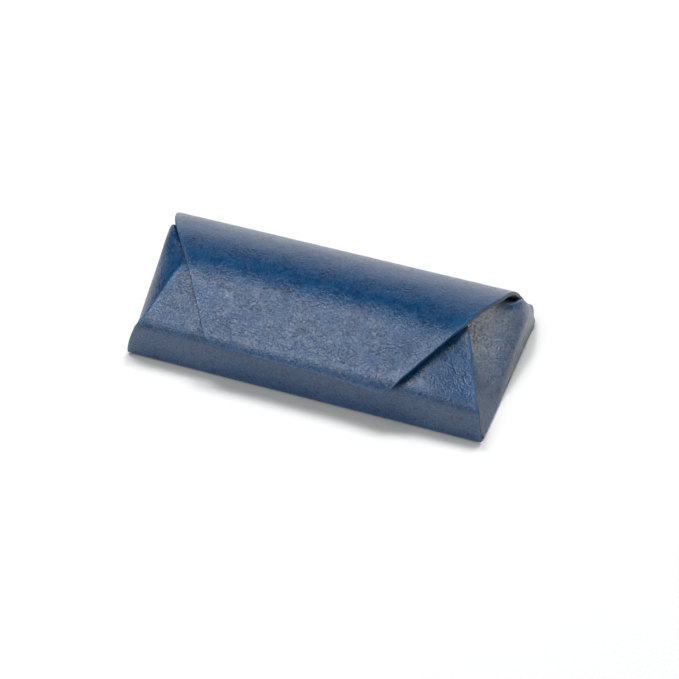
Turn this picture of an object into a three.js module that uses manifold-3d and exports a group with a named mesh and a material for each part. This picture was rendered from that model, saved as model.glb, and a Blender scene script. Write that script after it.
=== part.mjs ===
// Folding eyeglasses case: a rigid-walled pocket made of leather panels over stiffening board,
// with a back panel and a lid that wraps over the top and is held down by hidden magnets.
// Millimetres. X runs along the case, -Y is the front, +Z is up, the origin is under its middle.
import * as THREE from 'three';
import { mergeVertices } from 'three/addons/utils/BufferGeometryUtils.js';
import Module from 'manifold-3d';

const wasm = await Module();
wasm.setup();

// Overall size.
const HALF_LENGTH = 85;
const BACK_Y = 43.55;
const FRONT_ROLL_RADIUS = 9;
const FAR = 120; // longer than any side, for tools that cut right through

// Layers of every wall, counted inwards from the outer face.
const LEATHER = [0, 1.0];
const BOARD = [1.15, 1.85];
const LINING = [2.0, 2.5];
const GAP = 0.3;
const WALL = LINING[1];
const FRONT_DEPTH = WALL + GAP; // the front flap lies this far under the lid's outer face
const SIDE_DEPTH = FRONT_DEPTH + WALL + GAP; // and the side flaps this far

// Base stack, from the table up.
const BASE_LEATHER = [0, 1.0];
const BASE_BOARD = [1.3, 2.3];
const BASE_LINING = [2.6, 3.1];
const WALL_FOOT = BASE_LEATHER[1] + GAP;
const LINING_FOOT = BASE_LINING[1] + GAP;

// The lid's cross-section as a run of straight lengths and bends, from the back crease upwards.
const RUN = [
  { line: 5 },
  { radius: 22, turn: 44 },
  { line: 3 },
  { radius: 55, turn: 46 },
  { radius: 30, turn: 27 },
  { line: 23.95 },
  { radius: FRONT_ROLL_RADIUS, turn: 63 },
  { line: 17.1 },
];
const ROLL_S = 21.9; // length along the run at which the lid folds away from the back panel
const FRONT_END_S = 70.5; // the front flap's free edge, hidden under the lid
const RISE_S = 58; // behind that edge the side flaps rise until here, to lie under the lid
const LID_END_S = 113.5; // the lid's free edge
const RUN_END_S = 134.0;
const BEND_STEP = 7; // degrees between facets of a bend
const RISE_STEPS = [0.2, 0.4, 0.6, 0.8];

// Half widths of the flaps at lengths along the run: [half width, length].
const LID_LEFT = [
  [84.6, 0], [84.6, 44], [82.1, 51], [78.7, 57], [73.3, 65.4], [66.3, 76], [57.2, 90.5], [47.4, 106.4],
];
const LID_RIGHT = [
  [84.6, 0], [79.6, 18], [77.6, 34], [75.6, 48.5], [72.9, 57], [69.6, 65.7], [66.3, 75.5], [47.4, 106.4],
];
const LID_CORNER = [[45.4, 109.6], [43.4, 112], [41, 113.2], [38.5, 114]];
const FRONT_EDGE = [
  [85, 135], [84.8, 130], [84.2, 124], [83.1, 118.5], [81.7, 113], [80, 107], [78, 101], [75.8, 95],
  [73.2, 89], [70.1, 81], [66.9, 73], [65, 68],
];

// Side flaps: an upright end wall that rolls over at the top, along a line that rises from the
// front and along one that falls again towards the back. rollZ is its height at mid depth.
const SIDE_ROLLS = [
  { radius: 15, rollZ: 22.75, slope: 0.46 },
  { radius: 7, rollZ: 40.2, slope: -0.82 },
];
const SIDE_ROLL_STEPS = 10;
const SIDE_TOP_S = [22, 111]; // the flap lies flat under the others between these lengths
const SIDE_TIP = [[88, -60], [88, 60], [74, 60], [70, 34], [38, -6], [38, -20], [58, -60]];

// Hidden magnets.
const MAGNET = { radius: 5, thickness: 0.6, x: 28, s: 95, hole: 5.4 };

// Plane in which the flap outlines are cut, tilted like the front slope.
const CUT_TILT = THREE.MathUtils.degToRad(27);

const rad = THREE.MathUtils.degToRad;

// Point on the cross-section at length s, moved inwards by depth.
function pointAt(s, depth = 0) {
  let y = BACK_Y;
  let z = 0;
  let heading = 90;
  let left = s;
  for (const part of RUN) {
    const length = part.line ?? part.radius * rad(part.turn);
    const step = Math.min(left, length);
    if (part.line) {
      y += step * Math.cos(rad(heading));
      z += step * Math.sin(rad(heading));
    } else {
      const turned = THREE.MathUtils.radToDeg(step / part.radius);
      y += part.radius * (Math.sin(rad(heading + turned)) - Math.sin(rad(heading)));
      z -= part.radius * (Math.cos(rad(heading + turned)) - Math.cos(rad(heading)));
      heading += turned;
    }
    left -= step;
    if (left <= 1e-9) break;
  }
  const normal = [Math.sin(rad(heading)), -Math.cos(rad(heading))];
  return { y: y - depth * normal[0], z: z - depth * normal[1], normal };
}

// Lengths along the run at which the cross-section needs a vertex.
function stations(from, to) {
  const list = [from];
  let s = 0;
  for (const part of RUN) {
    const length = part.line ?? part.radius * rad(part.turn);
    const steps = part.line ? 1 : Math.ceil(part.turn / BEND_STEP);
    for (let i = 1; i <= steps; i += 1) {
      const at = s + (length * i) / steps;
      if (at > from + 0.2 && at < to - 0.2) list.push(at);
    }
    s += length;
  }
  list.push(to);
  return list;
}

// A solid for cutting and joining, from a three.js geometry.
function solid(geometry) {
  const bare = new THREE.BufferGeometry();
  bare.setAttribute('position', geometry.getAttribute('position'));
  if (geometry.index) bare.setIndex(geometry.index);
  const merged = mergeVertices(bare, 1e-4);
  return new wasm.Manifold(new wasm.Mesh({
    numProp: 3,
    vertProperties: new Float32Array(merged.attributes.position.array),
    triVerts: new Uint32Array(merged.index.array),
  }));
}

function closedShape(points) {
  const shape = new THREE.Shape();
  points.forEach(([u, v], i) => (i ? shape.lineTo(u, v) : shape.moveTo(u, v)));
  shape.closePath();
  return shape;
}

function extrude(points, depth) {
  return new THREE.ExtrudeGeometry(closedShape(points), { depth, bevelEnabled: false });
}

// A (y, z) outline carried along the whole length of the case.
function alongX(points, x0 = -FAR, x1 = FAR) {
  const geometry = extrude(points, x1 - x0);
  geometry.applyMatrix4(new THREE.Matrix4().makeBasis(
    new THREE.Vector3(0, 1, 0), new THREE.Vector3(0, 0, 1), new THREE.Vector3(1, 0, 0),
  ));
  geometry.translate(x0, 0, 0);
  return solid(geometry);
}

// An (x, y) outline carried upwards.
function alongZ(points, z0 = -FAR, z1 = FAR) {
  const geometry = extrude(points, z1 - z0);
  geometry.translate(0, 0, z0);
  return solid(geometry);
}

function box(x, y, z) {
  const geometry = new THREE.BoxGeometry(x[1] - x[0], y[1] - y[0], z[1] - z[0]);
  geometry.translate((x[0] + x[1]) / 2, (y[0] + y[1]) / 2, (z[0] + z[1]) / 2);
  return solid(geometry);
}

// A bent sheet with the lid's cross-section, between two depths and two lengths along the run.
function bentSheet([outer, inner], from, to) {
  const at = stations(from, to);
  const outside = at.map((s) => pointAt(s, outer));
  const inside = at.map((s) => pointAt(s, inner)).reverse();
  return alongX([...outside, ...inside].map((p) => [p.y, p.z]));
}

// A flap outline given as half widths along the run, cut square to the front slope.
function outlineCutter(left, right) {
  const place = ([x, s], sign) => {
    const p = pointAt(s);
    return [sign * x, p.y * Math.cos(CUT_TILT) + p.z * Math.sin(CUT_TILT)];
  };
  const points = [
    ...left.map((p) => place(p, -1)),
    ...right.map((p) => place(p, 1)).reverse(),
  ];
  const geometry = extrude(points, 2 * FAR);
  geometry.translate(0, 0, -FAR);
  geometry.rotateX(CUT_TILT);
  return solid(geometry);
}

// An outline drawn in by an inset, keeping its lengths along the run.
function drawnIn(outline, inset) {
  return outline.map(([x, s]) => [x - inset, s]);
}

// The outline below the back roll turns under itself, so it starts where the run is monotonic.
const OUTLINE_START_S = 15.4;

function lidCutter(inset) {
  const trim = (outline) => {
    const upper = outline.filter(([, s]) => s > OUTLINE_START_S);
    return drawnIn([[outline[0][0], OUTLINE_START_S - 0.01], ...upper, ...LID_CORNER], inset);
  };
  return outlineCutter(trim(LID_LEFT), trim(LID_RIGHT));
}

function frontCutter(inset) {
  return outlineCutter(drawnIn(FRONT_EDGE, inset).reverse(), drawnIn(FRONT_EDGE, inset).reverse());
}

function lidSheet(layer, inset = 0) {
  const sheet = bentSheet(layer, ROLL_S + GAP / 2 + inset, LID_END_S - inset);
  return sheet.intersect(lidCutter(inset));
}

// The back panel narrows upwards on its right, like the lid that it carries.
function backSheet(layer, inset = 0) {
  const foot = pointAt(0).y + GAP;
  const top = pointAt(ROLL_S).z + GAP;
  const sheet = bentSheet(layer, WALL_FOOT + inset, ROLL_S - GAP / 2 - inset);
  const width = LID_RIGHT[1][0] - inset;
  const outline = [
    [-(LID_LEFT[0][0] - inset), 0], [LID_RIGHT[0][0] - inset, 0], [width, top], [-(LID_LEFT[0][0] - inset), top],
  ];
  const geometry = extrude(outline, FAR);
  geometry.rotateX(Math.PI / 2);
  geometry.translate(0, foot, 0);
  return sheet.intersect(solid(geometry));
}

function frontSheet(layer, inset = 0) {
  const depth = layer.map((d) => d + FRONT_DEPTH);
  const sheet = bentSheet(depth, FRONT_END_S + inset, RUN_END_S);
  return sheet.intersect(frontCutter(inset)).intersect(
    box([-HALF_LENGTH, HALF_LENGTH], [-FAR, FAR], [WALL_FOOT + inset, FAR]),
  );
}

// The cross-section that a side flap lies within: under the front flap, then rising behind that
// flap's free edge to lie under the lid.
function underFlaps(depth, from, to) {
  const free = FRONT_END_S - GAP - depth;
  const rising = (s) => {
    const t = Math.min(Math.max((free - s) / (free - RISE_S), 0), 1);
    return SIDE_DEPTH - (SIDE_DEPTH - FRONT_DEPTH) * t * t * (3 - 2 * t);
  };
  const at = [...stations(from, RISE_S), ...RISE_STEPS.map((t) => RISE_S + t * (free - RISE_S)), ...stations(free, to)];
  return at.map((s) => pointAt(s, rising(s) + depth));
}

// The space that a side flap may fill, down to its foot.
function sideSpace(depth, foot) {
  return alongX(underFlaps(depth, 0, RUN_END_S).map((p) => [p.y, Math.max(p.z, foot)]));
}

// The same space under the flap, left open towards the front and the back.
function sideHollow(depth) {
  const top = underFlaps(depth, ...SIDE_TOP_S).map((p) => [p.y, p.z]);
  const [back, front] = [top[0][1], top[top.length - 1][1]];
  return alongX([[FAR, -FAR], [FAR, back], ...top, [-FAR, front], [-FAR, -FAR]]);
}

// Everything on the inner side of one roll of a side flap.
function insideRoll({ radius, rollZ, slope }, depth) {
  const points = [[0, -FAR], [HALF_LENGTH - depth, -FAR]];
  for (let i = 0; i <= SIDE_ROLL_STEPS; i += 1) {
    const a = rad((90 * i) / SIDE_ROLL_STEPS);
    const r = radius - depth;
    points.push([HALF_LENGTH - radius + r * Math.cos(a), r * Math.sin(a)]);
  }
  points.push([0, radius - depth]);
  const geometry = extrude(points, 2 * FAR);
  geometry.rotateX(Math.PI / 2);
  geometry.translate(0, FAR, 0);
  geometry.applyMatrix4(new THREE.Matrix4().set(
    1, 0, 0, 0,
    0, 1, 0, 0,
    0, slope, 1, rollZ,
    0, 0, 0, 1,
  ));
  return solid(geometry);
}

// A side flap's skin between two depths: the end wall, its rolled top and the flat part beyond.
function sideSkin([outer, inner], foot, sign) {
  const filled = (depth) => SIDE_ROLLS.map((roll) => insideRoll(roll, depth)).reduce((a, b) => a.intersect(b));
  const skin = filled(outer).intersect(sideSpace(outer, foot))
    .subtract(filled(inner).intersect(sideHollow(inner)));
  return sign > 0 ? skin : skin.mirror([1, 0, 0]);
}

function sideTip(sign, inset) {
  const tip = SIDE_TIP.map(([x, y]) => [sign * (x < HALF_LENGTH ? x + inset : x), y]);
  return alongZ(sign > 0 ? tip : tip.reverse());
}

function sideLeather(sign) {
  return sideSkin(LEATHER, WALL_FOOT, sign).intersect(sideTip(sign, 0));
}

function sideLining(sign) {
  return sideSkin(LINING, LINING_FOOT, sign).intersect(sideTip(sign, 1));
}

// A flat board in the upright end wall, below both rolls.
function sideBoard(sign) {
  const x = BOARD.map((d) => sign * (HALF_LENGTH - d)).sort((a, b) => a - b);
  const below = SIDE_ROLLS.map(({ rollZ, slope }) => alongX([
    [-FAR, -FAR - slope * FAR], [FAR, -FAR + slope * FAR],
    [FAR, rollZ + slope * FAR], [-FAR, rollZ - slope * FAR],
  ], x[0], x[1]));
  return below.reduce((a, b) => a.intersect(b)).intersect(sideSpace(BOARD[0], WALL_FOOT));
}

// A disc lying in a sheet at a length along the run and a depth.
function discAt(x, s, depth, radius, thickness) {
  const p = pointAt(s, depth);
  const geometry = new THREE.CylinderGeometry(radius, radius, thickness, 32);
  geometry.rotateX(Math.PI / 2);
  geometry.rotateX(Math.atan2(-p.normal[0], p.normal[1]));
  geometry.translate(x, p.y, p.z);
  return solid(geometry);
}

function magnetDepth(flapDepth) {
  return flapDepth + (BOARD[0] + BOARD[1]) / 2;
}

function withMagnetHoles(board, flapDepth) {
  return [-MAGNET.x, MAGNET.x].reduce(
    (left, x) => left.subtract(discAt(x, MAGNET.s, magnetDepth(flapDepth), MAGNET.hole, WALL)),
    board,
  );
}

function magnet(x, flapDepth) {
  return discAt(x, MAGNET.s, magnetDepth(flapDepth), MAGNET.radius, MAGNET.thickness);
}

function basePlate(z, inset) {
  const front = pointAt(RUN_END_S, FRONT_DEPTH).y;
  return box(
    [-HALF_LENGTH + inset, HALF_LENGTH - inset],
    [front + inset, BACK_Y - inset],
    z,
  );
}

const leatherLook = () => new THREE.MeshStandardMaterial({ color: 0x1b3f73, roughness: 0.42, metalness: 0 });
const liningLook = () => new THREE.MeshStandardMaterial({ color: 0x23272f, roughness: 0.95, metalness: 0 });
const boardLook = () => new THREE.MeshStandardMaterial({ color: 0x9a8f7c, roughness: 0.9, metalness: 0 });
const magnetLook = () => new THREE.MeshStandardMaterial({ color: 0xb9bcc0, roughness: 0.3, metalness: 1 });

const group = new THREE.Group();

function addNode(name, shape, material) {
  const mesh = shape.getMesh();
  const geometry = new THREE.BufferGeometry();
  geometry.setAttribute('position', new THREE.BufferAttribute(new Float32Array(mesh.vertProperties), 3));
  geometry.setIndex(new THREE.BufferAttribute(new Uint32Array(mesh.triVerts), 1));
  geometry.computeVertexNormals();
  const node = new THREE.Mesh(geometry, material);
  node.name = name;
  group.add(node);
}

function addBase() {
  addNode('base_leather', basePlate(BASE_LEATHER, 0), leatherLook());
  addNode('base_board', basePlate(BASE_BOARD, WALL + GAP), boardLook());
  addNode('base_lining', basePlate(BASE_LINING, WALL + GAP), liningLook());
}

function addFrontFlap() {
  addNode('front_leather', frontSheet(LEATHER), leatherLook());
  addNode('front_board', withMagnetHoles(frontSheet(BOARD, 2.5), FRONT_DEPTH), boardLook());
  addNode('front_lining', frontSheet(LINING, 0.6), liningLook());
  addNode('front_magnet_left', magnet(-MAGNET.x, FRONT_DEPTH), magnetLook());
  addNode('front_magnet_right', magnet(MAGNET.x, FRONT_DEPTH), magnetLook());
}

function addSideFlaps() {
  for (const [side, sign] of [['left', -1], ['right', 1]]) {
    addNode(`${side}_side_leather`, sideLeather(sign), leatherLook());
    addNode(`${side}_side_board`, sideBoard(sign), boardLook());
    addNode(`${side}_side_lining`, sideLining(sign), liningLook());
  }
}

function addBackPanel() {
  addNode('back_leather', backSheet(LEATHER), leatherLook());
  addNode('back_board', backSheet(BOARD, 1.2), boardLook());
  addNode('back_lining', backSheet(LINING, 0.4), liningLook());
}

function addLid() {
  addNode('lid_leather', lidSheet(LEATHER), leatherLook());
  addNode('lid_board', withMagnetHoles(lidSheet(BOARD, 2.5), 0), boardLook());
  addNode('lid_lining', lidSheet(LINING, 0.4), liningLook());
  addNode('lid_magnet_left', magnet(-MAGNET.x, 0), magnetLook());
  addNode('lid_magnet_right', magnet(MAGNET.x, 0), magnetLook());
}

addBase();
addFrontFlap();
addSideFlaps();
addBackPanel();
addLid();

export default group;
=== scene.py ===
"""Eyeglasses case: leather flaps and a lid over boards, lined, on a pale studio floor.

The case stands on z = 0 with its back towards +y. One cross-section, the run, climbs from the back crease
over the lid and down the front wall: s is the length along it, and a sheet that follows it is a grid of
(x, s). Lengths in the helpers are millimetres; they turn into metres when a mesh is made.
"""
import math
import bpy
import numpy as np
from mathutils import Matrix, Vector, noise


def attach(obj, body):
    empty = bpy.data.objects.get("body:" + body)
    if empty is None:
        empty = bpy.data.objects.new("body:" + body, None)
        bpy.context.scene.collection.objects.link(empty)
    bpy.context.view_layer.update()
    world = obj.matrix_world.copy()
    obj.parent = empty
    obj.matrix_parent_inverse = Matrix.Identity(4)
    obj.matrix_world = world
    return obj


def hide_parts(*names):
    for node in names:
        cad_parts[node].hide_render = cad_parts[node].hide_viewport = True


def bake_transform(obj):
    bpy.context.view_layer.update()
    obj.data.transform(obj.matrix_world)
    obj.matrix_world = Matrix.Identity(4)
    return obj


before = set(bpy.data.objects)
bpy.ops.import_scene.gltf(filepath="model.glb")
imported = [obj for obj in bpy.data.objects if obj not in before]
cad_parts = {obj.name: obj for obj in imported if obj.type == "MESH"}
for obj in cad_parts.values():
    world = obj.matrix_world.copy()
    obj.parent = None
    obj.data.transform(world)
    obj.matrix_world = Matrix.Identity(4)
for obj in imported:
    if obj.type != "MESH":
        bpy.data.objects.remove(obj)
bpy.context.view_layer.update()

MM = 0.001
TINY = 1e-12
HALF = 85.0                     # half the case's length
BACK_Y = 43.55                  # the back wall's outer face
THICK = 1.05                    # leather skin
EDGE_THICK = 2.0                # leather and board closed together along a painted edge
BOARD = (1.2, 1.85)             # depths of the board's two faces below the leather's outer face
LINING = (2.02, 2.5)            # depths of the lining's two faces
BASE_LINING = (0.0, 0.45)       # the same for the lining over the base, below its own top
FRONT_DEPTH = 2.8               # how far the front flap lies below the run
SIDE_DEPTH = 5.6                # how far the side flaps lie below it, under the front flap
CREASE = 1.6                    # outer radius of the folds at the foot of the walls
TURN = CREASE * math.pi / 2     # length of the skin round such a fold
UNDER = 1.8                     # how far each wall's skin carries on beneath the base
MITRE = 0.8                     # how much each end of that skin draws in, per millimetre beneath the base
TUCK = 5.0                      # how far in under its cover a side flap goes on bending

# Lengths along the run.
FOLD = (20.2, 24.6)             # the unboarded strip in which the lid folds away from the back
BACK_JOIN = 12.0                # where the back skin and the lid skin meet, on the back panel
SIDE_STEP = 58.0                # behind this the side flaps lie straight under the lid
FRONT_TOP = 70.5                # the front flap's free edge, under the lid
LID_END = 112.6                 # the lid's free edge
FRONT_WALL_END = 134.08         # the foot of the front wall
FRONT_FOLD = FRONT_WALL_END - CREASE    # where the front wall starts to fold under

# The lid's cross-section from the back crease upwards: straight lengths, and (radius, degrees) bends.
RUN = [(5.0,), (22.0, 44.0), (3.0,), (55.0, 46.0), (30.0, 27.0), (23.95,), (9.0, 63.0), (40.0,)]

# Half widths along the run: (half width, length).
LID_LEFT = [
    (84.6, 0), (85.0, 12), (87.6, 20), (88.8, 26), (88.6, 31), (87.6, 37), (86.0, 42), (83.6, 48),
    (81.2, 52.5), (78.7, 57), (73.3, 65.5), (66.3, 76), (57.2, 90.5), (47.6, 106.3), (43.2, 112.9),
]
LID_RIGHT = [
    (84.6, 0), (79.5, 10), (76.8, 18), (76.4, 34), (75.5, 48.5), (72.9, 57), (69.6, 65.7), (66.3, 75.0),
    (49.6, 101.6), (41.4, 114.4),
]
FRONT_LEFT = [
    (85, 134.2), (84.8, 130), (83.4, 124.4), (80.6, 117), (77.6, 108), (74.6, 98.2), (70.3, 82), (66.0, 70),
]
FRONT_RIGHT = [
    (85, 134.2), (84.7, 130), (84, 124), (82.9, 114.6), (79.6, 104), (76.9, 98.2), (73.1, 88.2),
    (69.6, 80.2), (65.4, 70),
]

# Inner edge of the side flaps in plan: (x, y).
SIDE_TIP = [(58, -60), (38, -20), (38, -6), (70, 34), (74, 60)]


# ---------------------------------------------------------------- camera, light and floor

CAMERA_AT = (0.26217, -0.69336, 0.69251)
CAMERA_AZIMUTH, CAMERA_ELEVATION, CAMERA_ROLL = 20.466, 43.074, -0.355
LENS = 116.64


def make_camera():
    a, e = math.radians(CAMERA_AZIMUTH), math.radians(CAMERA_ELEVATION)
    back = Vector((math.sin(a) * math.cos(e), -math.cos(a) * math.cos(e), math.sin(e)))
    right = Vector((math.cos(a), math.sin(a), 0))
    up = back.cross(right)
    turn = Matrix((right, up, back)).transposed().to_4x4()
    roll = Matrix.Rotation(math.radians(CAMERA_ROLL), 4, "Z")
    data = bpy.data.cameras.new("camera")
    data.lens = LENS
    data.sensor_width = 36
    data.clip_start = 0.05
    data.clip_end = 20
    camera = bpy.data.objects.new("camera", data)
    bpy.context.scene.collection.objects.link(camera)
    camera.matrix_world = Matrix.Translation(CAMERA_AT) @ turn @ roll
    bpy.context.scene.camera = camera


def make_light(name, at, target, size, radiance, glossy=True):
    """A softbox, left out of reflections if not glossy. Its power is its radiance times pi times its area."""
    data = bpy.data.lights.new(name, "AREA")
    data.shape = "RECTANGLE"
    data.size, data.size_y = size
    data.energy = radiance * math.pi * size[0] * size[1]
    light = bpy.data.objects.new(name, data)
    bpy.context.scene.collection.objects.link(light)
    light.location = at
    light.rotation_euler = (Vector(target) - Vector(at)).to_track_quat("-Z", "Y").to_euler()
    light.visible_camera = False
    light.visible_glossy = glossy


def make_world(colour, strength):
    world = bpy.data.worlds.new("studio")
    world.use_nodes = True
    background = world.node_tree.nodes["Background"]
    background.inputs["Color"].default_value = (*colour, 1)
    background.inputs["Strength"].default_value = strength
    bpy.context.scene.world = world


def make_floor():
    """A round floor that curves up into a low wall, all of one pale matt paper."""
    flat, bend, top, below = 1.9, 0.5, 0.9, 0.00005     # metres
    rings, bends, around = 8, 12, 96
    section = [(flat * k / rings, 0.0) for k in range(1, rings + 1)]
    for k in range(1, bends + 1):
        a = math.pi * k / (2 * bends)
        section.append((flat + bend * math.sin(a), bend - bend * math.cos(a)))
    section.append((flat + bend, top))
    angles = [2 * math.pi * k / around for k in range(around)]
    verts = [(0.0, 0.0, 0.0)]
    for r, z in section:
        verts += [(r * math.cos(a), r * math.sin(a), z) for a in angles]
    faces = [(0, 1 + k, 1 + (k + 1) % around) for k in range(around)]
    for ring in range(len(section) - 1):
        a, b = 1 + ring * around, 1 + (ring + 1) * around
        faces += [(a + k, b + k, b + (k + 1) % around, a + (k + 1) % around) for k in range(around)]
    mesh = bpy.data.meshes.new("floor")
    mesh.from_pydata(verts, [], faces)
    mesh.shade_smooth()
    floor = bpy.data.objects.new("floor", mesh)
    floor.location = (0, 0, -below)
    bpy.context.scene.collection.objects.link(floor)
    mesh.materials.append(paper())


# ---------------------------------------------------------------- materials

def connect(tree, node, links):
    """Each input of a node, linked if its value is a socket and set if not."""
    for key, value in links.items():
        if isinstance(value, bpy.types.NodeSocket):
            tree.links.new(value, node.inputs[key])
        else:
            node.inputs[key].default_value = value


def add(tree, kind, links=None, **settings):
    """A node with its settings and its inputs."""
    made = tree.nodes.new(kind)
    for key, value in settings.items():
        setattr(made, key, value)
    connect(tree, made, links or {})
    return made


def new_material(name):
    material = bpy.data.materials.new(name)
    material.use_nodes = True
    tree = material.node_tree
    return material, tree, tree.nodes["Principled BSDF"]


def maths(tree, operation, *values):
    return add(tree, "ShaderNodeMath", dict(enumerate(values)), operation=operation).outputs[0]


def noise_texture(tree, place, scale, detail, roughness=0.5, distortion=0.0, output="Fac"):
    links = {"Vector": place, "Scale": scale, "Detail": detail, "Roughness": roughness, "Distortion": distortion}
    return add(tree, "ShaderNodeTexNoise", links).outputs[output]


def bump(tree, height, strength, distance, over=None):
    """A bumped normal, on top of another one if that is given."""
    links = {"Height": height, "Strength": strength, "Distance": distance}
    if over is not None:
        links["Normal"] = over
    return add(tree, "ShaderNodeBump", links).outputs["Normal"]


def mix_colours(tree, factor, first, second, blend="MIX"):
    """Two colours mixed. A mix node's colours go in at its sockets 6 and 7, and come out at 2."""
    links = {0: factor, 6: first, 7: second}
    return add(tree, "ShaderNodeMix", links, data_type="RGBA", blend_type=blend).outputs[2]


def ramp(tree, factor, stops):
    made = add(tree, "ShaderNodeValToRGB", {"Fac": factor})
    elements = made.color_ramp.elements
    while len(elements) < len(stops):
        elements.new(0.5)
    for element, (at, colour) in zip(elements, stops):
        element.position = at
        element.color = (*colour, 1)
    return made.outputs["Color"]


def object_coordinates(tree):
    """Metres in the object's own space."""
    return add(tree, "ShaderNodeTexCoord").outputs["Object"]


def solid_coordinates(tree):
    """Millimetres in the object's own space."""
    links = {0: object_coordinates(tree), 1: (1000, 1000, 1000)}
    return add(tree, "ShaderNodeVectorMath", links, operation="MULTIPLY").outputs[0]


def sheet_coordinates(tree):
    """Millimetres across and along the flat sheet."""
    return add(tree, "ShaderNodeUVMap", uv_map="sheet").outputs["UV"]


def paper():
    material, tree, shader = new_material("pale_paper")
    fibres = noise_texture(tree, object_coordinates(tree), scale=900.0, detail=3.0)
    connect(tree, shader, {
        "Base Color": ramp(tree, fibres, [(0.3, (0.37, 0.37, 0.372)), (0.7, (0.39, 0.39, 0.39))]),
        "Roughness": 0.85,
        "Specular IOR Level": 0.15,
    })
    return material


def leather(name, deep, mid, light, bare):
    """Smooth full-grain leather: fine pebbles between shallow wrinkles, mottled dye, a waxed finish.
    Its dye runs from deep to light, and has rubbed through to bare where it is worn."""
    material, tree, shader = new_material(name)
    place = sheet_coordinates(tree)
    warp = noise_texture(tree, place, scale=0.12, detail=3.0, output="Color")
    shifted = add(tree, "ShaderNodeVectorMath", {0: warp, 1: (5.0, 5.0, 5.0), 2: place},
                  operation="MULTIPLY_ADD").outputs[0]
    pebbles = add(tree, "ShaderNodeTexVoronoi",
                  {"Vector": shifted, "Scale": 1.15, "Randomness": 1.0, "Smoothness": 0.3},
                  feature="SMOOTH_F1").outputs["Distance"]
    pores = noise_texture(tree, place, scale=3.2, detail=4.0, roughness=0.6)
    folds = noise_texture(tree, shifted, scale=0.34, detail=5.0, roughness=0.55, distortion=0.6)
    ridged = maths(tree, "ABSOLUTE", maths(tree, "SUBTRACT", folds, 0.5))
    wrinkles = maths(tree, "MINIMUM", maths(tree, "MULTIPLY", ridged, 7.0), 1.0)
    swell = noise_texture(tree, place, scale=0.055, detail=3.0)
    mottle = noise_texture(tree, place, scale=0.09, detail=5.0, roughness=0.6)
    scuffs = noise_texture(tree, place, scale=0.8, detail=4.0)

    # pebbles are distances from each pebble's middle, so they are highest between two pebbles
    height = maths(tree, "MULTIPLY", pebbles, -0.75)
    height = maths(tree, "MULTIPLY_ADD", wrinkles, 0.18, height)
    height = maths(tree, "MULTIPLY_ADD", pores, 0.22, height)
    grain = bump(tree, height, strength=0.8, distance=0.00031)
    soft = bump(tree, swell, strength=0.35, distance=0.0018, over=grain)

    # the dye is darker between the pebbles, and rubbed away along worn edges
    dye = ramp(tree, mottle, [(0.25, deep), (0.5, mid), (0.75, light)])
    valley = maths(tree, "SUBTRACT", 1.0, maths(tree, "MULTIPLY", pebbles, 0.6))
    shaded = mix_colours(tree, 1.0, dye, valley, blend="MULTIPLY")
    worn = add(tree, "ShaderNodeAttribute", attribute_name="wear").outputs["Fac"]
    rub = maths(tree, "MULTIPLY", worn, maths(tree, "MULTIPLY", scuffs, 0.9))

    rough = maths(tree, "MULTIPLY_ADD", mottle, 0.10, 0.19)
    rough = maths(tree, "MULTIPLY_ADD", pores, 0.08, rough)
    connect(tree, shader, {
        "Base Color": mix_colours(tree, rub, shaded, (*bare, 1)),
        "Normal": soft,
        "Roughness": rough,
        "Specular IOR Level": maths(tree, "MULTIPLY_ADD", pebbles, -0.4, 0.72),
        "IOR": 1.66,
        "Coat Weight": 0.1,
        "Coat Roughness": 0.22,
    })
    return material


def painted_edge():
    """Edge paint: darker and duller than the leather, with faint streaks."""
    material, tree, shader = new_material("painted_edge")
    streaks = noise_texture(tree, solid_coordinates(tree), scale=0.9, detail=4.0)
    connect(tree, shader, {
        "Base Color": ramp(tree, streaks, [(0.3, (0.002, 0.010, 0.028)), (0.7, (0.004, 0.018, 0.045))]),
        "Normal": bump(tree, streaks, strength=0.35, distance=0.0002),
        "Roughness": 0.48,
        "Coat Weight": 0.05,
        "Coat Roughness": 0.2,
    })
    return material


def suede(name, dark, light):
    """Brushed microfibre: a short nap that catches the light at grazing angles."""
    material, tree, shader = new_material(name)
    place = sheet_coordinates(tree)
    nap = noise_texture(tree, place, scale=5.0, detail=3.0, roughness=0.7)
    brushed = noise_texture(tree, place, scale=0.10, detail=4.0, distortion=0.8)
    both = maths(tree, "MULTIPLY_ADD", nap, 0.45, maths(tree, "MULTIPLY", brushed, 0.55))
    connect(tree, shader, {
        "Base Color": ramp(tree, both, [(0.35, dark), (0.65, light)]),
        "Normal": bump(tree, both, strength=0.5, distance=0.00025),
        "Roughness": 0.92,
        "Sheen Weight": 0.45,
        "Sheen Roughness": 0.4,
        "Sheen Tint": (0.45, 0.5, 0.6, 1),
        "Specular IOR Level": 0.2,
    })
    return material


def fibre_board():
    material, tree, shader = new_material("fibre_board")
    fibres = noise_texture(tree, solid_coordinates(tree), scale=1.6, detail=6.0, roughness=0.7, distortion=1.2)
    connect(tree, shader, {
        "Base Color": ramp(tree, fibres, [(0.3, (0.20, 0.16, 0.11)), (0.7, (0.36, 0.30, 0.22))]),
        "Normal": bump(tree, fibres, strength=0.4, distance=0.0002),
        "Roughness": 0.88,
    })
    return material


def nickel_plate():
    material, tree, shader = new_material("nickel_plate")
    fine = noise_texture(tree, solid_coordinates(tree), scale=4.0, detail=5.0)
    connect(tree, shader, {
        "Base Color": ramp(tree, fine, [(0.3, (0.62, 0.61, 0.58)), (0.7, (0.74, 0.73, 0.70))]),
        "Roughness": maths(tree, "MULTIPLY_ADD", fine, 0.22, 0.2),
        "Metallic": 1.0,
    })
    return material


# ---------------------------------------------------------------- curves

def smoothstep(t, a, b):
    t = np.clip((np.asarray(t, float) - a) / (b - a), 0, 1)
    return t * t * (3 - 2 * t)


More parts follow.
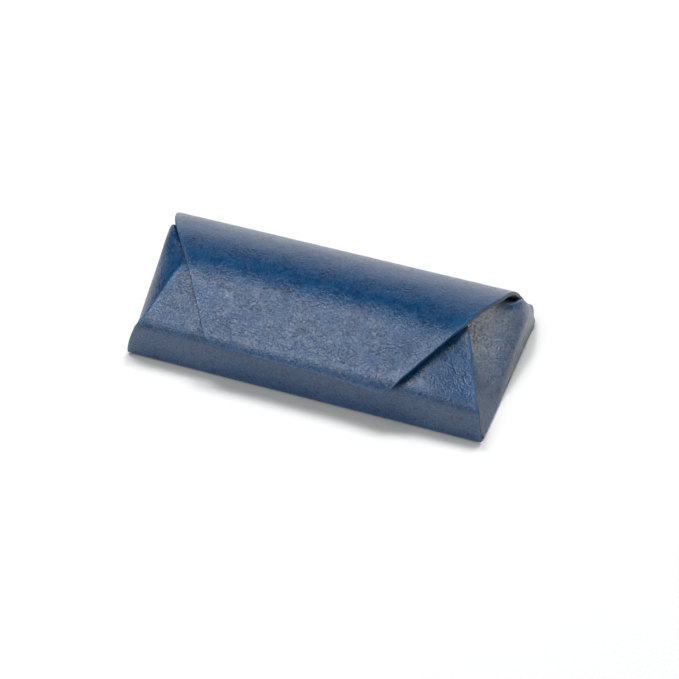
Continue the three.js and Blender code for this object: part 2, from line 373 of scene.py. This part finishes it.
def plateau(t, start, full, fade, end):
    """1 from full to fade, easing to 0 at start and end."""
    return smoothstep(t, start, full) * (1 - smoothstep(t, fade, end))


def bell(distance, width):
    return np.exp(-(distance / width) ** 2)


def rubbed(distance, amount, reach=1.2):
    """Wear that fades away from an edge."""
    return amount * np.exp(-distance / reach)


def soft_minimum(a, b, radius):
    """The smaller of two values, rounded off where they cross."""
    gap = 0.5 * (a - b)
    return 0.5 * (a + b) - math.sqrt(gap * gap + radius * radius)


def uneven(x, s, size, amount, seed):
    """A soft hand-made unevenness, in millimetres."""
    flat = [noise.noise((a / size, b / size, seed)) for a, b in zip(np.ravel(x), np.ravel(s))]
    return amount * np.reshape(flat, np.shape(x))


def steps(a, b, size):
    """Even steps of about a size, from a to b."""
    return np.linspace(a, b, max(2, int(round(abs(b - a) / size)) + 1))


def staged(start, *stages):
    """Steps from start through stages, each given as (end, size)."""
    values = [np.array([start])]
    for end, size in stages:
        values.append(steps(values[-1][-1], end, size)[1:])
    return np.concatenate(values)


def lengths(points):
    """Length along a polyline at each of its points."""
    return np.concatenate([[0], np.cumsum(np.linalg.norm(np.diff(points, axis=0), axis=1))])


def resampled(points, at):
    """Points on a polyline at lengths along it; at runs from 0 to 1."""
    points = np.asarray(points, float)
    along = lengths(points)
    wanted = np.asarray(at) * along[-1]
    return np.stack([np.interp(wanted, along, points[:, k]) for k in range(points.shape[1])], -1)


def softened(points, spread, step=0.25):
    """A polyline with its corners rounded off, its ends kept."""
    points = np.asarray(points, float)
    length = np.sum(np.linalg.norm(np.diff(points, axis=0), axis=1))
    fine = resampled(points, np.linspace(0, 1, int(length / step) + 1))
    half = int(3 * spread / step)
    weights = np.exp(-0.5 * (np.arange(-half, half + 1) * step / spread) ** 2)
    weights /= weights.sum()
    before, after = 2 * fine[0] - fine[half:0:-1], 2 * fine[-1] - fine[-2:-half - 2:-1]
    padded = np.concatenate([before, fine, after])
    return np.stack([np.convolve(padded[:, k], weights, "valid") for k in range(points.shape[1])], -1)


def straight_width(outline, s):
    """Half width of an outline at lengths s, straight from point to point."""
    return np.interp(s, [p[1] for p in outline], [p[0] for p in outline])


def half_width(outline, s):
    """Half width of an outline at lengths s, its corners rounded off."""
    smooth = softened(sorted((b, a) for a, b in outline), spread=2.0)
    return np.interp(s, smooth[:, 0], smooth[:, 1])


def run_at(s):
    """The lid's outer face at lengths s: y, z and the outward normal's y and z."""
    s = np.asarray(s, float)
    y, z = np.full(s.shape, BACK_Y), np.zeros(s.shape)
    heading, left = np.full(s.shape, math.pi / 2), s.copy()
    for part in RUN:
        if len(part) == 1:
            step = np.clip(left, 0, part[0])
            y, z = y + step * np.cos(heading), z + step * np.sin(heading)
        else:
            radius = part[0]
            step = np.clip(left, 0, radius * math.radians(part[1]))
            turned = heading + step / radius
            y = y + radius * (np.sin(turned) - np.sin(heading))
            z = z - radius * (np.cos(turned) - np.cos(heading))
            heading = turned
        left = left - step
    return y, z, np.sin(heading), -np.cos(heading)


def crease_turn(past):
    """The fold at a wall's foot, at lengths past its start: how far in, how high, and the normal's out and up."""
    a = np.clip(past / CREASE, 0, math.pi / 2)
    on = np.clip(past - TURN, 0, None)
    return CREASE - CREASE * np.cos(a) + on, CREASE - CREASE * np.sin(a), np.cos(a), -np.sin(a)


# ---------------------------------------------------------------- sheets

ALL_SIDES = ("top", "bottom", "left", "right")


def across(left, right, u):
    """Rows of places from each row's left end to its right end, at fractions u."""
    return left[:, None] + (right - left)[:, None] * u[None]


def repeated(values, cols):
    """A grid that holds one value all along each row."""
    return np.repeat(values[:, None], cols, 1)


def coons(top, bottom, left, right):
    """A grid between four boundary lines that share their corners. Its rows are spaced like the left line."""
    u = np.linspace(0, 1, len(top))[None, :, None]
    down = lengths(left)
    v = (down / down[-1])[:, None, None]
    sideways = (1 - u) * left[:, None] + u * right[:, None]
    endways = (1 - v) * top[None] + v * bottom[None]
    corners = (1 - u) * (1 - v) * top[0] + u * (1 - v) * top[-1] + (1 - u) * v * bottom[0] + u * v * bottom[-1]
    return sideways + endways - corners


def unit(vectors):
    return vectors / (np.linalg.norm(vectors, axis=-1, keepdims=True) + TINY)


def grid_normals(points, hint):
    """Normals of a grid, on the side that the hint points to."""
    normals = unit(np.cross(np.gradient(points, axis=1), np.gradient(points, axis=0)))
    return normals if np.sum(normals * hint) >= 0 else -normals


def skin_at(x, s, lift, depth=0.0, foot=None):
    """Points at depth below the run, raised by lift, and the run's normals there.
    foot is the wall that folds under at its foot: back or front."""
    y, z, ny, nz = run_at(s)
    y, z = y - depth * ny, z - depth * nz
    if foot == "back":
        past = CREASE - s
        inward, up, out, rise = crease_turn(np.clip(past, 0, None))
        y, z = np.where(past > 0, BACK_Y - inward, y), np.where(past > 0, up, z)
        ny, nz = np.where(past > 0, out, ny), np.where(past > 0, rise, nz)
    if foot == "front":
        past = s - FRONT_FOLD
        face = run_at(FRONT_WALL_END)[0] + depth
        inward, up, out, rise = crease_turn(np.clip(past, 0, None))
        y, z = np.where(past > 0, face + inward, y), np.where(past > 0, up, z)
        ny, nz = np.where(past > 0, -out, ny), np.where(past > 0, rise, nz)
    points = np.stack([x, y + lift * ny, z + lift * nz], -1)
    normals = np.stack([np.zeros(np.shape(x)), ny, nz], -1)
    return points, normals


def lifted_at(x, s, lift, depth=0.0, foot=None):
    """The same points, with normals that follow the lift as well."""
    points, hint = skin_at(x, s, lift, depth, foot)
    return points, grid_normals(points, hint)


def edge_distance(points, sides):
    """Distance of each grid point from the nearest of the chosen sides of its grid."""
    rows, cols = points.shape[:2]
    down = np.linalg.norm(np.diff(points, axis=0), axis=-1)
    over = np.linalg.norm(np.diff(points, axis=1), axis=-1)
    from_top = np.concatenate([np.zeros((1, cols)), np.cumsum(down, axis=0)])
    from_left = np.concatenate([np.zeros((rows, 1)), np.cumsum(over, axis=1)], axis=1)
    far = {"top": from_top, "bottom": from_top[-1:] - from_top,
           "left": from_left, "right": from_left[:, -1:] - from_left}
    return np.min([far[side] for side in sides], axis=0)


def edge_depth(distance):
    """Depth of a skin's inner face: its own thickness, and the whole wall's along a closed edge."""
    return EDGE_THICK - (EDGE_THICK - THICK) * smoothstep(distance, 0.5, 2.2)


def border(rows, cols):
    """Grid places round the border, in order."""
    places = [(0, j) for j in range(cols)]
    places += [(i, cols - 1) for i in range(1, rows)]
    places += [(rows - 1, j) for j in range(cols - 2, -1, -1)]
    places += [(i, 0) for i in range(rows - 2, 0, -1)]
    return places


def shell(name, outer, inner, flat, materials, round_sides=ALL_SIDES, edge=0.3, loops=6, wear=None):
    """A closed sheet between two grids, bulging by edge round the chosen sides. flat gives each point's place
    on the flat sheet. The materials are those of the outer face, the edge and the inner face."""
    sheet_gap, edge_step = 300.0, 0.4       # where the inner face and the edge lie on the flat sheet
    sharp = math.radians(55)
    rows, cols = outer.shape[:2]
    count = rows * cols
    places = border(rows, cols)
    ring = np.array([i * cols + j for i, j in places])
    within = np.array([np.clip(i, 1, rows - 2) * cols + np.clip(j, 1, cols - 2) for i, j in places])
    outside, inside = outer.reshape(-1, 3), inner.reshape(-1, 3)
    start, end = outside[ring], inside[ring]
    out = unit(np.cross(unit(np.roll(start, -1, 0) - np.roll(start, 1, 0)), unit(start - end)))
    out *= np.sign(np.sum(out * (start - outside[within]), axis=1))[:, None]

    def bulge(i, j):
        """A corner is square if either of its sides is."""
        on = {"top": i == 0, "bottom": i == rows - 1, "left": j == 0, "right": j == cols - 1}
        return edge if all(side in round_sides for side in on if on[side]) else 0.0

    amount = np.array([bulge(i, j) for i, j in places])[:, None]
    middle, half = (start + end) / 2, (start - end) / 2
    verts = [outside, inside]
    for k in range(1, loops):
        a = math.pi * k / loops
        verts.append(middle + half * math.cos(a) + out * (amount * math.sin(a)))
    verts = np.concatenate(verts)

    index = np.arange(count).reshape(rows, cols)
    quads = np.stack([index[:-1, :-1], index[1:, :-1], index[1:, 1:], index[:-1, 1:]], -1).reshape(-1, 4)
    chain = [ring] + [2 * count + k * len(ring) + np.arange(len(ring)) for k in range(loops - 1)] + [ring + count]
    strips = [np.stack([a, np.roll(a, -1), np.roll(b, -1), b], -1) for a, b in zip(chain, chain[1:])]
    parts = [quads, quads[:, ::-1] + count, np.concatenate(strips)]
    face = verts[quads[len(quads) // 2]]
    normal = np.cross(face[1] - face[0], face[2] - face[1])
    if np.dot(normal, (outer - inner)[rows // 2, cols // 2]) < 0:
        parts = [part[:, ::-1] for part in parts]

    mesh = bpy.data.meshes.new(name)
    mesh.from_pydata((verts * MM).tolist(), [], np.concatenate(parts).tolist())
    mesh.shade_smooth()
    slots = np.repeat([0, 2, 1], [len(part) for part in parts])
    mesh.polygons.foreach_set("material_index", slots.astype(np.int32))
    for material in materials:
        mesh.materials.append(material)
    sheet = flat.reshape(-1, 2)
    edges = [sheet[ring] + np.array([0.0, edge_step * k]) for k in range(1, loops)]
    sheet = np.concatenate([sheet, sheet + sheet_gap] + edges)
    vertex = np.zeros(len(mesh.loops), np.int32)
    mesh.loops.foreach_get("vertex_index", vertex)
    mesh.uv_layers.new(name="sheet").data.foreach_set("uv", sheet[vertex].astype(np.float32).ravel())
    worn = np.zeros(len(verts), np.float32)
    if wear is not None:
        worn[:count] = np.clip(wear, 0, 1).ravel()
        worn[2 * count:] = np.tile(worn[ring], loops - 1)
    mesh.attributes.new("wear", "FLOAT", "POINT").data.foreach_set("value", worn)
    mesh.set_sharp_from_angle(angle=sharp)
    made = bpy.data.objects.new(name, mesh)
    bpy.context.scene.collection.objects.link(made)
    return made


def layer(name, points, normals, depths, flat, materials, **rim):
    """A sheet between two depths below a face."""
    return shell(name, points - normals * depths[0], points - normals * depths[1], flat, materials, **rim)


# ---------------------------------------------------------------- the pieces

LEATHER = leather("leather", deep=(0.0005, 0.0195, 0.060), mid=(0.0008, 0.0270, 0.078),
                  light=(0.0015, 0.035, 0.096), bare=(0.025, 0.075, 0.16))
EDGE = painted_edge()
BACKING = suede("leather_back", dark=(0.02, 0.03, 0.05), light=(0.035, 0.05, 0.075))
NAP = suede("lining_nap", dark=(0.012, 0.017, 0.028), light=(0.03, 0.038, 0.055))
FIBRE = fibre_board()
SKIN = [LEATHER, EDGE, BACKING]
LINED = [NAP] * 3
BOARDED = [FIBRE] * 3
SOFT_RIM = {"edge": 0.15, "loops": 4}
CUT_RIM = {"edge": 0.0, "loops": 2}


def make_board(where, body, points, normals, flat):
    """The stiffening board between a skin and its lining."""
    made = layer(where + "_stiffener", points, normals, BOARD, flat, BOARDED, **CUT_RIM)
    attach(made, body)
    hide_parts(where + "_board")


def at_run(s):
    """A place on the run, in metres."""
    y, z = run_at(s)[:2]
    return (0.0, float(y) * MM, float(z) * MM)


def fold(piece):
    """Bakes the piece's placing into its mesh; the two ends of the fold on the run are looked up but not used."""
    at_run(FOLD[0])
    at_run(FOLD[1])
    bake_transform(piece)


def back_crease(piece):
    """Bakes the piece's placing into its mesh."""
    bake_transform(piece)


def lid_lengths(first):
    """Row lengths from the first to the lid's free edge, closer at the fold."""
    if first > FOLD[0]:
        return steps(first, LID_END, 1.2)
    return staged(first, (FOLD[0] - 1, 0.9), (FOLD[1] + 1, 0.45), (LID_END, 1.0))


def lid_lift(x, s):
    """How far the lid stands off its run: loose along its right diagonal, soft elsewhere."""
    from_left = np.clip(x + half_width(LID_LEFT, s), 0, None)
    from_right = np.clip(half_width(LID_RIGHT, s) - x, 0, None)
    loose = 1.9 * smoothstep(s, 56, 88) * (1 - 0.35 * smoothstep(s, 100, 114))
    lift = loose * bell(from_right, 17.0)
    lift += 0.35 * smoothstep(s, 88, 108) * bell(from_left, 12.0)
    lift += 0.25 * smoothstep(s, 100, 113)
    soft = uneven(x, s, size=34.0, amount=0.22, seed=1.7) + uneven(x, s, size=13.0, amount=0.07, seed=4.1)
    return lift + smoothstep(s, 28, 45) * soft


def lid_edge(sign, first):
    """The lid's left (-1) or right (1) edge from the length first to its front corner, as (x, s)."""
    outline = LID_LEFT if sign < 0 else LID_RIGHT
    start = (sign * straight_width(outline, first), first)
    return [start] + [(sign * w, s) for w, s in outline if s > first + 0.5]


def lid_grid(first, inset):
    """The lid's flat sheet from the length first on, as a grid of (x, s), drawn in by inset."""
    cols = 150
    left, right = lid_edge(-1, first), lid_edge(1, first)
    whole = softened(left + right[::-1], spread=1.5)
    # split the rounded outline where it comes nearest to each front corner
    corner = [int(np.argmin(np.linalg.norm(whole - np.array(line[-1]), axis=1))) for line in (left, right)]
    at = lid_lengths(first)
    at = (at - at[0]) / (at[-1] - at[0])
    left_line = resampled(whole[:corner[0] + 1], at)
    right_line = resampled(whole[corner[1]:][::-1], at)
    front = resampled(whole[corner[0]:corner[1] + 1], np.linspace(0, 1, cols))
    back = resampled([left_line[0], right_line[0]], np.linspace(0, 1, cols))
    grid = coons(back, front, left_line, right_line)
    if inset:
        half_wide, half_long, end = 75.0, 50.0, 113.0
        middle = np.array([0.0, (first + end) / 2])
        grid = middle + (grid - middle) * np.array([1 - inset / half_wide, 1 - inset / half_long])
        grid[..., 1] = np.maximum(grid[..., 1], first)
    return grid


def make_lid():
    """The lid's skin, lining and board."""
    open_sides = ("left", "right", "bottom")
    grid = lid_grid(BACK_JOIN, inset=0.0)
    x, s = grid[..., 0], grid[..., 1]
    lift = lid_lift(x, s)
    # a raised edge is let out a little, so that its outline still falls where the flat one would
    sideways, forwards = 0.278, 0.325
    let_out = bell(half_width(LID_RIGHT, s) - x, 20.0) * smoothstep(s, 56, 80)
    x, s = x + sideways * lift * let_out, s + forwards * lift * let_out
    points, normals = lifted_at(x, s, lift)
    distance = edge_distance(points, open_sides)
    inner = points - normals * edge_depth(distance)[..., None]
    lid = shell("lid_skin", points, inner, np.stack([x, s], -1), SKIN, open_sides, wear=rubbed(distance, 0.8))
    fold(lid)
    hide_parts("lid_leather")

    grid = lid_grid(BACK_JOIN, inset=0.8)
    x, s = grid[..., 0], grid[..., 1]
    points, normals = lifted_at(x, s, lid_lift(x, s))
    lining = layer("lid_inside", points, normals, LINING, grid, LINED, round_sides=open_sides, **SOFT_RIM)
    fold(lining)
    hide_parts("lid_lining")

    grid = lid_grid(FOLD[1] + 0.3, inset=2.8)
    x, s = grid[..., 0], grid[..., 1]
    points, normals = lifted_at(x, s, lid_lift(x, s))
    make_board("lid", "lid", points, normals, grid)


def make_back():
    """From under the base, round the back crease and up to meet the lid's skin."""
    under = CREASE - TURN - UNDER
    s = staged(under, (under + UNDER, 0.6), (CREASE, 0.3), (5, 0.5), (BACK_JOIN, 0.7))
    join = lid_grid(BACK_JOIN, inset=0.0)[0, :, 0]
    mitre = MITRE * np.clip(CREASE - s, 0, None)
    left, right = -straight_width(LID_LEFT, s) + mitre, straight_width(LID_RIGHT, s) - mitre
    x = across(left, right, (join - join[0]) / (join[-1] - join[0]))
    s = repeated(s, len(join))
    points, normals = skin_at(x, s, lift=0.0, foot="back")
    distance = edge_distance(points, ("left", "right"))
    thick = THICK + (edge_depth(distance) - THICK) * smoothstep(s, 2.5, 6.0)
    wear = rubbed(distance, 0.8) + 0.5 * bell(s - 0.6, 1.2)
    back = shell("back_skin", points, points - normals * thick[..., None], np.stack([x, s], -1), SKIN,
                 ("left", "right"), wear=wear)
    back_crease(back)
    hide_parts("back_leather")

    cols, inset = 100, 2.9
    s = steps(4.0, 19.6, 1.2)
    left, right = -half_width(LID_LEFT, s) + inset, half_width(LID_RIGHT, s) - inset
    x, s = across(left, right, np.linspace(0, 1, cols)), repeated(s, cols)
    points, normals = lifted_at(x, s, lift=0.0)
    make_board("back", "back_panel", points, normals, np.stack([x, s], -1))


def make_inside():
    """One lining over the base, round the back crease and up the back panel."""
    cols, bend, half, narrowing = 120, 1.2, 81.9, 1.6
    front_y, back_y, floor_z = -37.9, BACK_Y - LINING[1], 3.1
    y = steps(front_y, back_y - bend, 1.2)
    flat = np.stack([y, np.full(len(y), floor_z)], -1)
    turn = np.radians(np.arange(15, 90, 15))
    corner = np.stack([back_y - bend + bend * np.sin(turn), floor_z + bend - bend * np.cos(turn)], -1)
    y, z, ny, nz = run_at(steps(floor_z + bend, BACK_JOIN, 0.9))
    up = np.stack([y - LINING[1] * ny, z - LINING[1] * nz], -1)
    path = np.concatenate([flat, corner, up])
    right = half - narrowing * smoothstep(path[:, 1], floor_z, floor_z + 8)
    x = across(np.full(len(path), -half), right, np.linspace(0, 1, cols))
    length = repeated(lengths(path), cols)
    points = np.stack([x, repeated(path[:, 0], cols), repeated(path[:, 1], cols)], -1)
    normals = grid_normals(points, hint=(0, 0, 1))
    wavy = uneven(x, length, size=22.0, amount=0.06, seed=7.7)
    points = points - normals * (0.06 - wavy[..., None])
    inside = layer("base_inside", points, normals, BASE_LINING, np.stack([x, length], -1), LINED, **SOFT_RIM)
    back_crease(inside)
    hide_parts("base_lining", "back_lining")


def front_lift(x, s):
    """How the front flap strays from its run: it droops towards its right edge."""
    right = half_width(FRONT_RIGHT, s)
    droop = 1.9 * smoothstep(x, right - 24, right + 2) * plateau(s, 73, 82, 108, 120)
    soft = uneven(x, s, size=30.0, amount=0.14, seed=11.3) + uneven(x, s, size=9.0, amount=0.05, seed=12.9)
    return (1 - smoothstep(s, 118, 130)) * soft - droop


def front_grid(s, inset, cols):
    """The front flap's flat sheet at row lengths s, as x and s."""
    mitre = MITRE * np.clip(s - FRONT_FOLD, 0, None)
    left, right = -half_width(FRONT_LEFT, s) + mitre + inset, half_width(FRONT_RIGHT, s) - mitre - inset
    return across(left, right, np.linspace(0, 1, cols)), repeated(s, cols)


def make_front():
    """The front wall and flap: from under the lid, down and in beneath the base."""
    end = FRONT_FOLD + TURN
    x, s = front_grid(staged(FRONT_TOP, (FRONT_FOLD, 0.9), (end, 0.3), (end + UNDER, 0.6)), inset=0.3, cols=165)
    points, normals = lifted_at(x, s, front_lift(x, s), depth=FRONT_DEPTH, foot="front")
    distance = edge_distance(points, ("left", "right", "top"))
    thick = THICK + (edge_depth(distance) - THICK) * (1 - smoothstep(s, 126, 131))
    wear = rubbed(distance, 0.7, reach=1.0) + 0.35 * bell(s - 133.3, 1.2)
    front = shell("front_skin", points, points - normals * thick[..., None], np.stack([x, s], -1), SKIN,
                  ("left", "right", "top"), wear=wear)
    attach(front, "pocket")
    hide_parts("front_leather")

    x, s = front_grid(steps(FRONT_TOP + 0.8, FRONT_WALL_END - 3.5, 1.0), inset=0.9, cols=165)
    points, normals = skin_at(x, s, front_lift(x, s), depth=FRONT_DEPTH)
    lining = layer("front_inside", points, normals, LINING, np.stack([x, s], -1), LINED, **SOFT_RIM)
    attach(lining, "pocket")
    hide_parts("front_lining")

    x, s = front_grid(steps(FRONT_TOP + 2.6, FRONT_WALL_END - 4.0, 1.2), inset=2.7, cols=120)
    points, normals = lifted_at(x, s, front_lift(x, s), depth=FRONT_DEPTH)
    make_board("front", "pocket", points, normals, np.stack([x, s], -1))


def make_base():
    """The leather under the base, between the folds of the walls."""
    gap, inner_z, spacing, sheet_start = CREASE + UNDER + 0.35, 1.1, 1.5, 400
    front = float(run_at(FRONT_WALL_END)[0]) + FRONT_DEPTH
    x, y = np.meshgrid(steps(-(HALF - gap), HALF - gap, spacing), steps(front + gap, BACK_Y - gap, spacing))
    edge = np.minimum.reduce([x + HALF - gap, HALF - gap - x, y - front - gap, BACK_Y - gap - y])
    rise = (0.10 + uneven(x, y, size=25.0, amount=0.08, seed=15.5)) * smoothstep(edge, 0, 12)
    points = np.stack([x, y, rise], -1)
    inner = np.stack([x, y, np.full(x.shape, inner_z)], -1)
    flat = np.stack([x, y + sheet_start], -1)
    base = shell("base_skin", points, inner, flat, SKIN, loops=5, wear=rubbed(edge, 0.5, reach=2.0))
    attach(base, "pocket")
    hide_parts("base_leather")


# ---------------------------------------------------------------- the side flaps

def under_height(y):
    """Height of the space under the front flap and the lid, at places y."""
    s = np.linspace(0, 131, 800)
    run_y, run_z, ny, nz = run_at(s)
    depth = FRONT_DEPTH + (SIDE_DEPTH - FRONT_DEPTH) * smoothstep(s, SIDE_STEP, FRONT_TOP - 0.3)
    run_y, run_z = run_y - depth * ny, run_z - depth * nz
    order = np.argsort(run_y)
    return float(np.interp(y, run_y[order], run_z[order]))


def covering(y, sign):
    """Half width of whatever lies over a side flap at y: the front flap's edge, or the lid's behind it."""
    front_from = 75.5
    s = np.linspace(10, 134, 500)
    s_at = np.interp(y, run_at(s)[0][::-1], s[::-1])
    front, lid = (FRONT_LEFT, LID_LEFT) if sign < 0 else (FRONT_RIGHT, LID_RIGHT)
    return float(half_width(front if s_at > front_from else lid, s_at))


def right_roll(y, top, widest):
    """The right flap's bend at y, as (x, z): steep at its foot, then leaning over towards the flaps."""
    climbing, falling = 8.5 + 0.40 * y, 36.0 - 0.74 * y     # heights of the straight wall, from front and back
    foot = max(min(soft_minimum(climbing, falling, radius=2.0), top - 6.0), CREASE)
    wide = HALF - covering(y, 1) + TUCK + 3.5 * smoothstep(y, -30, -14)
    wide = min(max(wide, 6.0), widest)
    high = top - foot
    t = np.linspace(0, 1, 60)[:, None]
    first, last = np.array([HALF, foot]), np.array([HALF - wide, top])
    knee = np.array([HALF - 0.19 * high, foot + 0.38 * high])
    roll = (1 - t) ** 2 * first + 2 * t * (1 - t) * knee + t * t * last
    # the back end stands up beside the lid's edge
    beside = smoothstep(roll[:, 0], 76.6, 80.2) * smoothstep(roll[:, 1], foot, foot + 0.45 * high)
    roll[:, 1] += 6.6 * smoothstep(y, 16, 37) * beside
    return roll


def left_roll(y, top, widest):
    """The left flap's bend at y, as (x, z): an elliptical roll that fills the corner the lid leaves open."""
    edge = covering(y, -1)
    stand = 3.2 * plateau(y, -4, 10, 22, 34)
    foot = max(min(24.9 + 0.73 * y, top - 3.0 + stand), CREASE)
    wide = min(max(HALF - edge + TUCK, 4.0), 26.0, widest)
    angle = np.linspace(0, math.pi / 2, 70)
    roll = np.stack([HALF - wide + wide * np.cos(angle), foot + (top + stand - foot) * np.sin(angle)], -1)
    roll[:, 1] -= stand * (1 - smoothstep(roll[:, 0], edge, edge + 2.0))
    return roll


def side_section(y, count, sign):
    """A side flap's section at y, above the foot: count points (x, z) from the wall's foot to the flap's edge.
    The wall rises, rolls over and ends level under the flaps."""
    tip = straight_width(SIDE_TIP, y)
    top, widest = under_height(y), HALF - tip - 1.0
    if sign > 0:
        sag, swell = 2.6 * plateau(y, -32, -14, 2, 20), 2.0 * plateau(y, 6, 18, 30, 37)
        top = top - sag + swell
        roll = right_roll(y, top, widest)
    else:
        roll = left_roll(y, top, widest)
    path = np.concatenate([[[HALF, CREASE]], roll, [[tip, top]]])
    return resampled(path, np.linspace(0, 1, count))


def relaxed(points, rounds):
    """The grid with its creases softened, its border kept."""
    for _ in range(rounds):
        middle = (points[:-2, 1:-1] + points[2:, 1:-1] + points[1:-1, :-2] + points[1:-1, 2:]) / 4
        points[1:-1, 1:-1] += 0.5 * (middle - points[1:-1, 1:-1])
    return points


def side_grid(sign):
    """A side flap's outer face above its foot, as if on the right: rows from front to back, columns upwards."""
    rows, cols, front_y = 92, 100, -38.4
    # the back edge follows the inside of the back panel, and stands further out where the panel is narrower
    nearer, further = 1.8, 3.0
    y, z, ny, nz = run_at(np.linspace(0, 40, 200))
    depth = 3.0 - (nearer * smoothstep(z, 4, 12) if sign > 0 else 0.0)
    end = side_section(38.5, cols, sign)
    back_y = np.interp(end[:, 1], z - depth * nz, y - depth * ny)
    if sign > 0:
        back_y += further * smoothstep(end[:, 0], 77.5, 80.5) * smoothstep(end[:, 1], 6, 13)
    points = np.zeros((rows, cols, 3))
    for row, u in enumerate(np.linspace(0, 1, rows)):
        # the row is not quite straight: it crosses from the section at its front to the one at its back
        wanted = front_y + u * (back_y - front_y)
        near, far = wanted.min(), wanted.max()
        w = ((wanted - near) / max(far - near, TINY))[:, None]
        section = side_section(near, cols, sign) * (1 - w) + side_section(far, cols, sign) * w
        points[row] = np.stack([section[:, 0], wanted, section[:, 1]], -1)
    return points


def make_side(name, sign):
    """A side wall and its flap, on the left (-1) or the right (1)."""
    points = relaxed(side_grid(sign), rounds=40 if sign > 0 else 14)
    rows = len(points)
    length = edge_distance(points, ("left",))
    normals = grid_normals(points, hint=(1, 0, 0.5))
    along = points[..., 1] * sign
    soft = uneven(along, length, size=24.0, amount=0.22, seed=20.5)
    soft += uneven(along, length, size=8.0, amount=0.06, seed=23.1)
    points = points + normals * (smoothstep(length, 2, 14) * soft)[..., None]

    # the foot: in under the base, then round the crease
    past = staged(TURN + UNDER, (TURN, 0.6), (0, 0.3))[:-1]
    inward, up, out, rise = crease_turn(past)
    v = np.linspace(0, 1, rows)[:, None]
    front_y, back_y = points[0, 0, 1] + MITRE * inward, points[-1, 0, 1] - MITRE * inward
    foot = np.stack(np.broadcast_arrays(HALF - inward, front_y + v * (back_y - front_y), up), -1)
    foot_normals = np.stack(np.broadcast_arrays(out, 0 * v, rise), -1)
    whole = np.concatenate([foot, points], axis=1)
    normals = grid_normals(whole, np.concatenate([foot_normals, normals], axis=1))
    normals[:, :len(past)] = foot_normals
    length = np.concatenate([np.repeat(-past[None], rows, 0), length], axis=1)

    distance = edge_distance(whole, ("top", "bottom", "right"))
    above = smoothstep(length, 3, 8)
    thick = THICK + (edge_depth(distance) - THICK) * above
    wear = rubbed(distance, 0.6) * above + 0.35 * bell(length + 0.8, 1.2)
    sheet_start = 200 * (2 + sign)
    flat = np.stack([length + sheet_start, whole[..., 1]], -1)
    mirror = np.array([sign, 1, 1])
    whole, normals = whole * mirror, normals * mirror
    skin = shell(name + "_side_skin", whole, whole - normals * thick[..., None], flat, SKIN,
                 ("top", "bottom", "right"), wear=wear)
    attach(skin, "pocket")
    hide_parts(name + "_side_leather")

    lining_from, board_to = 3.0, 24.0       # lengths up from the crease
    first = int(np.argmax(length[0] > lining_from))
    keep = (slice(2, -2), slice(first, -2))
    lining = layer(name + "_side_inside", whole[keep], normals[keep], LINING, flat[keep], LINED, **SOFT_RIM)
    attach(lining, "pocket")
    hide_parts(name + "_side_lining")

    # the board stiffens the wall, not the flap's tongue
    last = int(np.argmax(length[rows // 2] > board_to))
    keep = (slice(3, -3), slice(first + 1, last))
    make_board(name + "_side", "pocket", whole[keep], normals[keep], flat[keep])


def dress_kept_nodes():
    """Materials for the frame's own boards and magnets, where nothing replaces them."""
    plate = nickel_plate()
    for name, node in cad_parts.items():
        if name.endswith("_board") and not node.hide_render:
            node.data.materials.clear()
            node.data.materials.append(FIBRE)
        elif "magnet" in name:
            node.data.materials.clear()
            node.data.materials.append(plate)


CENTRE = (0.0, 0.0, 0.0)
make_camera()
make_world((0.7, 0.85, 1.0), 0.03)
make_floor()
make_light("overhead", (-0.47, -0.48, 1.35), (-0.47, -0.48, 0.0), (0.74, 0.84), radiance=5.7)
make_light("key_left", (-0.36, 0.26, 1.30), CENTRE, (0.36, 0.36), radiance=48.0, glossy=False)
make_light("key_right", (0.12, 0.42, 1.28), CENTRE, (0.36, 0.36), radiance=48.0, glossy=False)
make_light("right", (1.20, 0.34, 0.74), CENTRE, (0.90, 0.66), radiance=4.4)
make_light("behind", (-0.55, 1.75, 0.37), (0.0, 0.0, 0.05), (2.0, 0.56), radiance=1.1)
make_light("front", (-0.20, -1.70, 0.28), CENTRE, (2.0, 0.50), radiance=11.5, glossy=False)
make_light("front_sheen", (-0.40, -1.22, 1.06), CENTRE, (0.9, 0.60), radiance=2.0)
bpy.context.scene.view_settings.view_transform = "Standard"

make_base()
make_back()
make_inside()
make_front()
make_side("right", 1)
make_side("left", -1)
make_lid()
dress_kept_nodes()
